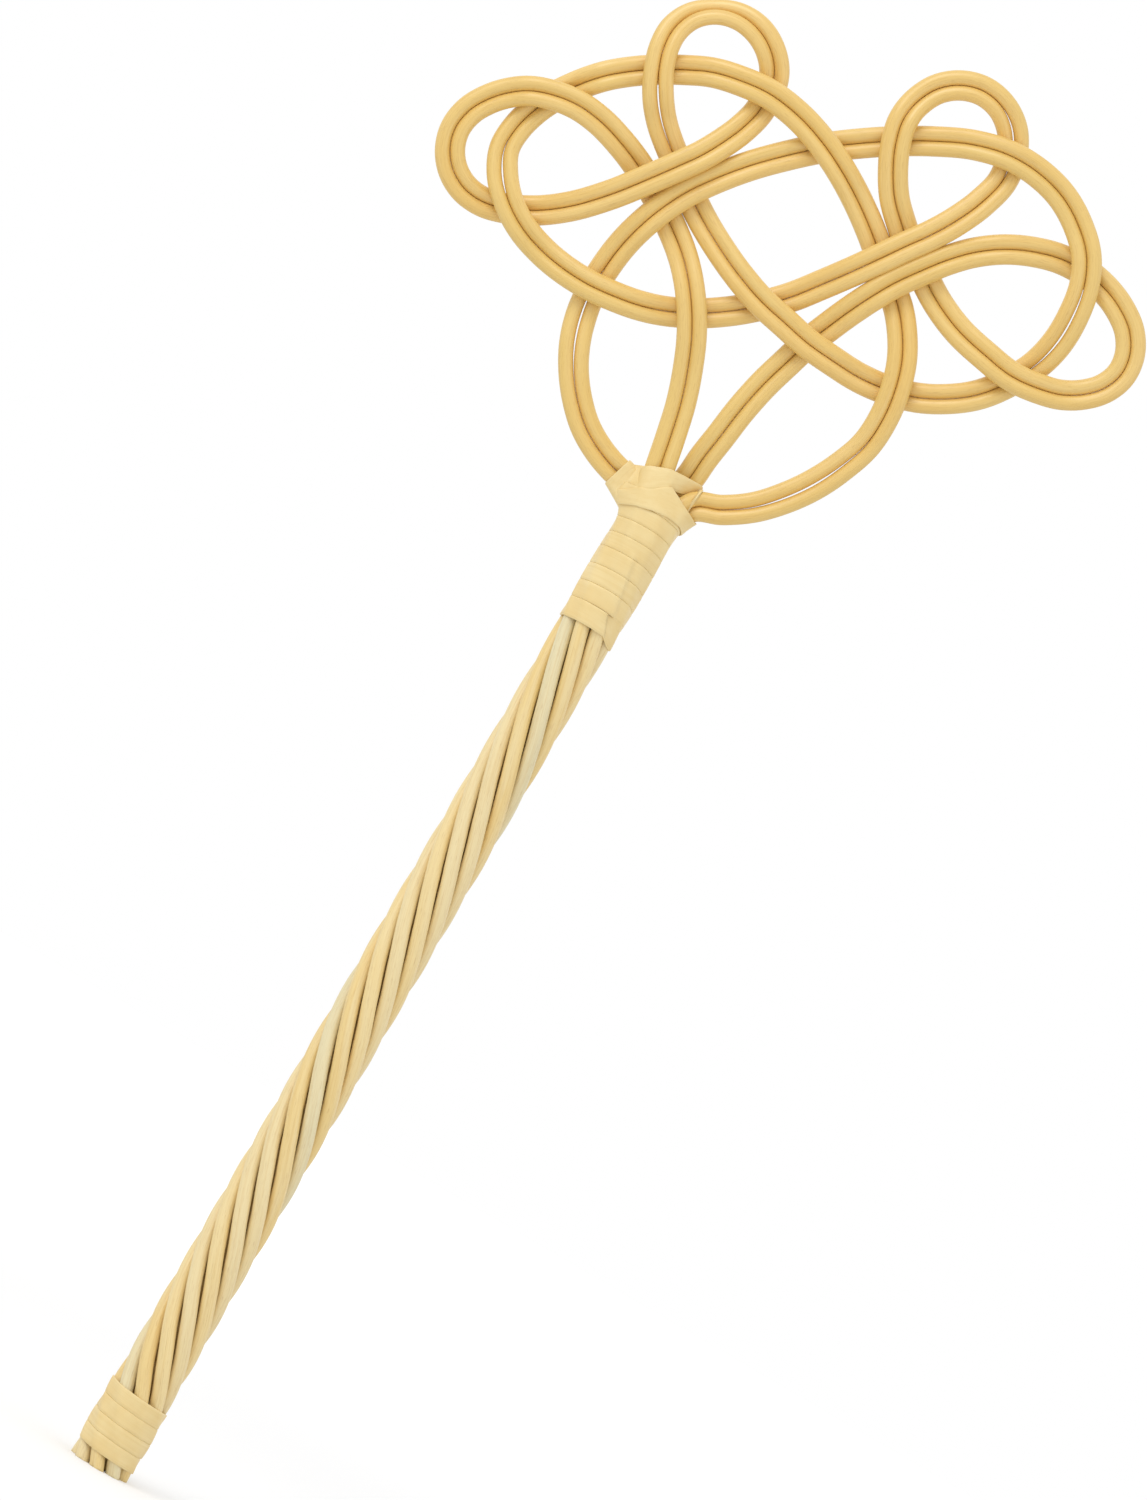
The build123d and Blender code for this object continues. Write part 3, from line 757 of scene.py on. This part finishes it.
def on_strands(angle, height):
    """The place on the strands' taut surface at this angle and height, and its outward direction."""
    level = height / ring_spacing
    turn = (angle % full_turn) / full_turn * ring_steps
    place = Vector((0, 0, 0))
    outward = Vector((0, 0, 0))
    for near_level, level_share in ((floor(level), 1 - level % 1), (floor(level) + 1, level % 1)):
        if near_level not in level_rings:
            centre = Vector((0, 0, near_level * ring_spacing))
            level_rings[near_level] = taut_ring(
                strands.values(), centre, Vector((0, 0, 1)), Vector((1, 0, 0))
            )
        ring = level_rings[near_level]
        for near_turn, turn_share in ((floor(turn), 1 - turn % 1), (floor(turn) + 1, turn % 1)):
            distance, facing = ring[near_turn % ring_steps]
            way = radians(near_turn * full_turn / ring_steps)
            share = level_share * turn_share
            place += Vector((distance * cos(way), distance * sin(way), 0)) * share
            outward += facing * share
    place.z = height
    return place, outward.normalized()


def strip_mesh(name, stations, is_ring, finish):
    """A strip of real thickness. Each station is a row of (place, outward direction) across the strip,
    and the strip's rims are eased. Notes across, rim distance and along as the strip's fibre."""
    shape = bmesh.new()
    fibre = shape.verts.layers.float_vector.new("fibre")
    rows = []
    along = 0.0
    last_middle = None
    for station in stations:
        middle = station[len(station) // 2][0]
        if last_middle is not None:
            along += (middle - last_middle).length
        last_middle = middle
        low, high = station[0], station[-1]
        width = sum((b[0] - a[0]).length for a, b in zip(station, station[1:]))
        share = min(widest_rim, strip_rim / width)
        rim_low = (low[0].lerp(station[1][0], share * (len(station) - 1)), low[1])
        rim_high = (high[0].lerp(station[-2][0], share * (len(station) - 1)), high[1])
        outer = [(low[0] + low[1] * strip_thickness * rim_thickness, 0.0)]
        outer += [(rim_low[0] + rim_low[1] * strip_thickness * shoulder_thickness, strip_rim)]
        outer += [
            (place + outward * strip_thickness, width / 2) for place, outward in station[1:-1]
        ]
        outer += [(rim_high[0] + rim_high[1] * strip_thickness * shoulder_thickness, strip_rim)]
        outer += [(high[0] + high[1] * strip_thickness * rim_thickness, 0.0)]
        inner = [(place - outward * strip_give, 0.0) for place, outward in station[::-1]]
        row = []
        across = 0.0
        last = outer[0][0]
        for place, from_rim in outer + inner:
            across += (place - last).length
            last = place
            vert = shape.verts.new(place)
            vert[fibre] = (across, from_rim, along)
            row.append(vert)
        rows.append(row)
    if is_ring:
        pairs = zip(rows, rows[1:] + rows[:1])
    else:
        pairs = zip(rows, rows[1:])
        shape.faces.new(rows[0][::-1])
        shape.faces.new(rows[-1])
    for row, following in pairs:
        for k in range(len(row)):
            after = (k + 1) % len(row)
            shape.faces.new((row[k], row[after], following[after], following[k]))
    bmesh.ops.recalc_face_normals(shape, faces=shape.faces[:])
    for face in shape.faces:
        face.smooth = True
    mesh = bpy.data.meshes.new(name)
    shape.to_mesh(mesh)
    shape.free()
    mesh.materials.append(finish)
    made = bpy.data.objects.new(name, mesh)
    bpy.context.collection.objects.link(made)
    return made


def between_values(table, place):
    """The value at a place between the table's pairs."""
    for (start, low), (end, high) in zip(table, table[1:]):
        if place <= end:
            return low + (high - low) * max(0.0, place - start) / (end - start)
    return table[-1][1]


def peeled_strip(name):
    """Flat peeled strip: cream and satin, with faint fibres along it, and its rims painted paler as a
    highlight where they catch the light.
    """
    material, grain, shader = new_finish(name)
    place = grain.node("ShaderNodeTexCoord", output=3)
    fibre = grain.node("ShaderNodeAttribute", {"attribute_name": "fibre"}, output=1)
    streaks = fibre.stretched(2600.0, 45.0).noise(3.0)
    wide_streaks = fibre.stretched(700.0, 30.0).noise(2.0)
    patches = place.stretched(90.0, 90.0).noise(2.0)
    # Painted highlight: the strip is made paler within 0.6 mm of each rim, where a rounded rim catches the
    # light.
    rim_highlight = 1 - fibre.part("Y").between(0.0, 0.0006)
    cream = patches.between(0.3, 0.7).mix(as_seen(238, 210, 146), as_seen(243, 219, 160))
    cream = (wide_streaks.between(0.45, 0.7) * 0.22).mix(cream, as_seen(229, 197, 126))
    cream = (streaks.between(0.45, 0.75) * 0.12).mix(cream, as_seen(216, 182, 112))
    feed(
        grain,
        shader,
        Base_Color=(rim_highlight * 0.35).mix(cream, as_seen(250, 232, 178)),
        Roughness=streaks * 0.15 + 0.38,
        Normal=grain.node("ShaderNodeBump", Strength=0.2, Distance=0.00006, Height=streaks),
    )
    return material


strip_finish = peeled_strip("peeled strip")


def turn_edge(turn):
    """Angle and height of the edge between two turns, counted up from the collar's foot."""
    angle = 180.0 - full_turn * turn
    level = between_values(turn_edges, turn)
    wave = turn_rise * (1 + cos(radians(angle))) - turn_dip * sin(radians(angle))
    return angle, collar_foot + level + wave


def with_ridge(place, outward):
    """Lifts a place on the collar where a covered strip end runs down under the turns."""
    above_neck = place.z - neck_height
    down = (ridge_top - above_neck) / (ridge_top - ridge_foot)
    if not 0 < down < 1:
        return place + outward * layer_under, outward
    beside = (place.x - (ridge_start + ridge_drift * down)) / ridge_half_width
    if beside > 0:
        beside *= ridge_steepness
    lift = 0.0
    if place.y < 0:
        ends = min(1, ridge_rise * down, ridge_fall - ridge_fall * down)
        lift = ridge_height * exp(-(beside**2)) * ends
    return place + outward * (layer_under + lift), outward


def collar_row(turn, slant, under):
    """One row of places across the strip. With a slant, its lower rim is further back along it."""
    row = []
    for k in range(strip_cells + 1):
        share = k / strip_cells
        angle, low = turn_edge(turn - slant * (1 - share))
        high = turn_edge(turn + 1 - slant * (1 - share))[1] - turn_gap
        place, outward = with_ridge(*on_strands(angle, low + (high - low) * share))
        row.append((place + outward * under, outward))
    return row


collar_rows = []
steps = round((last_turn - first_fold) * turn_steps)
for step in range(steps + 1):
    turn = first_fold + fold_slant + step * (last_turn - first_fold) / steps
    left = max(0.0, (fold_fades - turn) / (fold_fades - first_fold))
    collar_rows.append(collar_row(turn, fold_slant * left, strip_thickness * min(1.0, 2 * left)))
collar = strip_mesh("collar_turns", collar_rows, False, strip_finish)
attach(collar, "root")
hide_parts("collar_winding")

# Angle round the collar, and the upper and lower rims of the tucked end from the collar's foot
tail_rims = [
    (285, 0.0118, 0.0060), (300, 0.0118, 0.0030), (315, 0.0112, 0.0012), (330, 0.0108, -0.0002),
    (350, 0.0100, -0.0012), (370, 0.0080, 0.0),
]
tail_steps = 40
tail_under = 0.6  # share of the layer under the turns
tail_start = tail_rims[0][0]
tail_reach = tail_rims[-1][0] - tail_start
tail_rows = []
for step in range(tail_steps + 1):
    angle = tail_start + tail_reach * step / tail_steps
    high = collar_foot + between_values([each[:2] for each in tail_rims], angle)
    low = collar_foot + between_values([each[::2] for each in tail_rims], angle)
    row = [on_strands(angle, low + (high - low) * k / strip_cells) for k in range(strip_cells + 1)]
    tail_rows.append([(place + outward * layer_under * tail_under, outward) for place, outward in row])
tail = strip_mesh("collar_tail", tail_rows, False, strip_finish)
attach(tail, "root")
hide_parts("collar_winding")

# The butt's winding: the same strip in three and a half turns round the handle's end. The photograph
# hides it, so it is the usual one: plain turns laid side by side.
butt_turns = 3.5
butt_cells = 4
butt_winding_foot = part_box("butt_winding")[0].z
butt_pitch = (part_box("butt_winding")[1].z - butt_winding_foot) / (butt_turns + 1)
butt_rows = []
for step in range(round(butt_turns * turn_steps) + 1):
    turn = step / turn_steps
    low = butt_winding_foot + butt_pitch * turn
    high = low + butt_pitch - turn_gap
    angle = -full_turn * turn
    row = [on_strands(angle, low + (high - low) * k / butt_cells) for k in range(butt_cells + 1)]
    butt_rows.append([(place + outward * layer_under, outward) for place, outward in row])
butt_turn_strip = strip_mesh("butt_turns", butt_rows, False, strip_finish)
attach(butt_turn_strip, "root")
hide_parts("butt_winding")

# The neck strap: the strip carried up from the collar and drawn round the bundle where the canes part,
# over the two front canes and under the outermost ones at each side.
neck_strap_under = 0.0012
neck_strap_cells = 9
# The strap's foot from the neck's height: at its middle, and how much higher at the right and behind
neck_strap_foot = (-0.0029, 0.00186, -0.0035)
# Angle round the neck, and the strap's top above the neck's height
neck_strap_top = [
    (0, 0.0047), (30, 0.0065), (60, 0.0080), (90, 0.0085), (120, 0.0070), (150, 0.0030),
    (180, -0.0006), (205, 0.0033), (220, 0.0057), (235, 0.0075), (249, 0.0098), (262, 0.0116),
    (276, 0.0123), (308, 0.0103), (325, 0.0085), (341.6, 0.0066), (360, 0.0047),
]
strap_rows = []
for step in range(ring_steps):
    angle = full_turn * step / ring_steps
    middle, at_right, behind = neck_strap_foot
    low = middle + at_right * cos(radians(angle)) + behind * sin(radians(angle))
    high = between_values(neck_strap_top, angle)
    row = [
        on_strands(angle, neck_height + low + (high - low) * k / neck_strap_cells)
        for k in range(neck_strap_cells + 1)
    ]
    strap_rows.append([(place + outward * neck_strap_under, outward) for place, outward in row])
neck_strap = strip_mesh("neck_wrap", strap_rows, True, strip_finish)
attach(neck_strap, "root")
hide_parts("neck_strap")

# The root straps: a turn of strip round each pair of canes where it leaves the neck, and a longer one
# round the two middle pairs. Each is drawn tight, and its ends are tucked under the neck strap.
root_strap_cells = 5


def strap_between(name, node, held, low_edge, high_edge, under):
    """A strap round the held canes. An edge is two places in the knot's plane, which the edge's plane
    passes through, and how much that plane rises towards the front."""
    rings = []
    for left, right, rise in (low_edge, high_edge):
        start = Vector((left[0], 0, neck_height + left[1]))
        end = Vector((right[0], 0, neck_height + right[1]))
        run = (end - start).normalized()
        back = Vector((0, 1, -rise)).normalized()
        normal = run.cross(back).normalized()
        centre = (start + end) / 2
        ring = taut_ring([strands[each] for each in held], centre, normal, run)
        rings.append((ring, normal, run, centre))
    rows = []
    for step in range(ring_steps):
        angle = 2 * pi * step / ring_steps
        ends = []
        for ring, normal, run, centre in rings:
            distance, outward = ring[step]
            way = run * cos(angle) + normal.cross(run) * sin(angle)
            ends.append((centre + way * distance + outward * under, outward))
        (low, low_out), (high, high_out) = ends
        shares = [k / root_strap_cells for k in range(root_strap_cells + 1)]
        rows.append([(low.lerp(high, s), low_out.lerp(high_out, s).normalized()) for s in shares])
    strap = strip_mesh(name, rows, True, strip_finish)
    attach(strap, "root")
    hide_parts(node)


strap_between(
    "left_root_turn",
    "left_root_strap",
    ("left_band_inner_cane_last", "left_band_outer_cane_last"),
    ((-0.0222, 0.00215), (-0.0195, 0.0111), 0.0),
    ((-0.0119, 0.0035), (-0.0138, 0.0125), 0.0),
    under=0.0003,
)
strap_between(
    "centre_root_turn",
    "centre_root_strap",
    (
        "left_band_inner_cane_first", "left_band_outer_cane_first",
        "right_band_outer_cane_first", "right_band_inner_cane_first",
    ),
    ((-0.0095, 0.0008), (0.0098, 0.0148), 0.386),
    ((-0.0110, 0.0110), (0.0103, 0.0197), 0.535),
    under=0.0009,
)
strap_between(
    "right_root_turn",
    "right_root_strap",
    ("right_band_outer_cane_last", "right_band_inner_cane_last"),
    ((0.0106, 0.0160), (0.0098, 0.0070), 0.0),
    ((0.0119, 0.0160), (0.0112, 0.0070), 0.0),
    under=0.0003,
)

# The strip that crosses the crotch, from under the left turn to under the centre one: places along it,
# with the depth of its lower and upper rims and their heights above the neck's
crotch_places = [
    (-0.0180, -0.0026, 0.0006, 0.0035, 0.0120), (-0.0160, -0.0030, 0.0000, 0.0035, 0.0128),
    (-0.0140, -0.0040, -0.0008, 0.0040, 0.0136), (-0.0122, -0.0058, -0.0024, 0.0045, 0.0143),
    (-0.0100, -0.0084, -0.0050, 0.0055, 0.0150),
]
crotch_steps = 24
crotch_lean = 0.5  # how much its outer side faces left
crotch_tables = [[(each[0], each[column]) for each in crotch_places] for column in range(1, 5)]
crotch_rows = []
for step in range(crotch_steps + 1):
    x = crotch_places[0][0] + (crotch_places[-1][0] - crotch_places[0][0]) * step / crotch_steps
    front, back, low, high = (between_values(table, x) for table in crotch_tables)
    row = []
    for k in range(strip_cells + 1):
        climb = radians(90 * k / strip_cells)
        depth = front + (back - front) * (1 - cos(climb))
        place = Vector((x, depth, neck_height + low + (high - low) * k / strip_cells))
        row.append((place, Vector((-crotch_lean, -cos(climb / 2), sin(climb / 2))).normalized()))
    crotch_rows.append(row)
crotch_strip = strip_mesh("crotch_turn", crotch_rows, False, strip_finish)
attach(crotch_strip, "root")
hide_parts("left_root_strap")

# The studio: a pale floor under the butt, white all round as a camera sees it, and two soft lamps. The
# floor glows a little for the camera, and more far from the butt, so it fades into the white behind it.
floor_reach = 3.0
glow_changes = (0.45, 1.4)  # from this distance to this one
near_glow = 0.2
added_glow = 0.16
sky_strength = 0.86
ground_mesh = bpy.data.meshes.new("floor")
ground_mesh.from_pydata(
    [(x * floor_reach, y * floor_reach, butt_height) for x, y in ((-1, -1), (1, -1), (1, 1), (-1, 1))],
    [],
    [(0, 1, 2, 3)],
)
ground = bpy.data.objects.new("floor", ground_mesh)
bpy.context.collection.objects.link(ground)
material, grain, shader = new_finish("pale floor")
feed(grain, shader, Base_Color=(0.8, 0.8, 0.8, 1.0), Roughness=0.9)
rays = grain.node("ShaderNodeLightPath").socket.node.outputs
camera_ray = Grain(grain.tree, rays["Is Camera Ray"])
place = grain.node("ShaderNodeTexCoord", output=3)
from_butt = grain.node("ShaderNodeVectorMath", {"operation": "LENGTH"}, output=1, _0=place)
glow_strength = camera_ray * (from_butt.between(*glow_changes) * added_glow + near_glow)
glow = grain.node("ShaderNodeEmission", Color=(1.0, 1.0, 1.0, 1.0), Strength=glow_strength)
both = grain.node("ShaderNodeAddShader")
grain.tree.links.new(shader.outputs[0], both.socket.node.inputs[0])
grain.tree.links.new(glow.socket, both.socket.node.inputs[1])
output = grain.tree.nodes["Material Output"]
grain.tree.links.new(both.socket, output.inputs["Surface"])
ground.data.materials.append(material)

world = bpy.data.worlds.new("studio")
world.use_nodes = True
bpy.context.scene.world = world
sky = Grain(world.node_tree)
rays = sky.node("ShaderNodeLightPath").socket.node.outputs
seen = (
    Grain(sky.tree, rays["Is Camera Ray"])
    + Grain(sky.tree, rays["Is Glossy Ray"])
    + Grain(sky.tree, rays["Is Transmission Ray"])
)
light = world.node_tree.nodes["Background"]
light.inputs["Color"].default_value = (1.0, 1.0, 1.0, 1.0)
light.inputs["Strength"].default_value = sky_strength
white = sky.node("ShaderNodeBackground", Color=(1.0, 1.0, 1.0, 1.0), Strength=1.0)
blend = sky.node("ShaderNodeMixShader", _0=seen)
sky.tree.links.new(light.outputs[0], blend.socket.node.inputs[1])
sky.tree.links.new(white.socket, blend.socket.node.inputs[2])
sky.tree.links.new(blend.socket, world.node_tree.nodes["World Output"].inputs["Surface"])


def soft_lamp(name, direction, distance, size, power):
    """A square soft box that faces the middle of the beater."""
    data = bpy.data.lights.new(name, "AREA")
    data.shape = "SQUARE"
    data.size = size
    data.energy = power
    lamp = bpy.data.objects.new(name, data)
    bpy.context.collection.objects.link(lamp)
    middle = (cad_box[0] + cad_box[1]) / 2
    way = Vector(direction).normalized()
    lamp.location = middle + way * distance
    lamp.rotation_mode = "QUATERNION"
    lamp.rotation_quaternion = way.to_track_quat("Z", "Y")


soft_lamp("key lamp", (-0.9, -1.0, 1.4), distance=2.2, size=1.0, power=12.0)
soft_lamp("fill lamp", (1.4, -1.0, 0.2), distance=2.4, size=1.6, power=2.5)

view_settings = bpy.context.scene.view_settings
view_settings.view_transform = "Standard"
